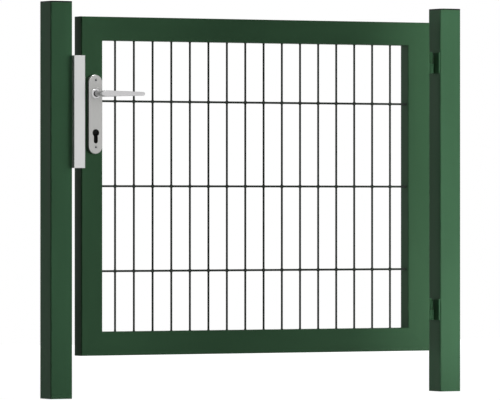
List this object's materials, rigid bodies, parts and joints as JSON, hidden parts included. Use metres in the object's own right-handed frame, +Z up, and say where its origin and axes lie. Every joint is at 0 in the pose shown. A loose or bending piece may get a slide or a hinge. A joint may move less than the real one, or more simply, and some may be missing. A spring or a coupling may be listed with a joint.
{
  "type": "single garden gate",
  "caption": "Single garden gate with square steel posts, a tube-framed wire mesh leaf, mortise lock, lever handles and pin hinges.",
  "frame": {"origin": "centre of the hinge post's foot face, at ground level", "axes": "+X from the lock post towards the hinge post along the gate, +Y from the gate's front to its back, the way the leaf opens, +Z up"},
  "size_m": [1.1175, 0.1521, 0.9325],
  "materials": {
    "green_powder_coat": "satin moss-green powder coat over galvanised steel",
    "mesh_powder_coat": "satin dark green powder coat over galvanised wire",
    "bare_aluminium": "silver anodised, fine satin",
    "stainless_steel": "brushed along its length",
    "zinc_plated_steel": "bright zinc plate",
    "black_plastic": "moulded, fine grain"
  },
  "bodies": {
    "posts": {"lock_post": "green_powder_coat", "hinge_post": "green_powder_coat", "lock_post_cap": "black_plastic", "hinge_post_cap": "black_plastic", "strike_plate": "bare_aluminium", "upper_hinge_bracket": "green_powder_coat", "lower_hinge_bracket": "green_powder_coat", "upper_hinge_pin": "green_powder_coat", "lower_hinge_pin": "green_powder_coat", "upper_hinge_washer": "black_plastic", "lower_hinge_washer": "black_plastic"},
    "leaf": {"upper_hinge_knuckle": "green_powder_coat", "lower_hinge_knuckle": "green_powder_coat", "lock_stile": "green_powder_coat", "hinge_stile": "green_powder_coat", "top_rail": "green_powder_coat", "bottom_rail": "green_powder_coat", "mesh_panel": "mesh_powder_coat", "front_lock_plate": "bare_aluminium", "back_lock_plate": "bare_aluminium", "lock_case": "zinc_plated_steel", "lock_forend": "stainless_steel", "latch_bolt": "stainless_steel", "dead_bolt": "stainless_steel"},
    "levers": {"front_lever": "bare_aluminium", "back_lever": "bare_aluminium", "spindle": "zinc_plated_steel"}
  },
  "joints": [
    {"name": "leaf_swing", "type": "hinge", "parent": "posts", "child": "leaf", "pos_m": [-0.04375, -0.001, 0.498], "axis": [0, 0, -1], "range_deg": [0, 90]},
    {"name": "lever_turn", "type": "hinge", "parent": "leaf", "child": "levers", "pos_m": [-0.975, -0.00975, 0.715], "axis": [0, 1, 0], "range_deg": [0, 40], "stiffness_Nm_per_rad": 1.5, "springref_deg": -14.32}
  ]
}
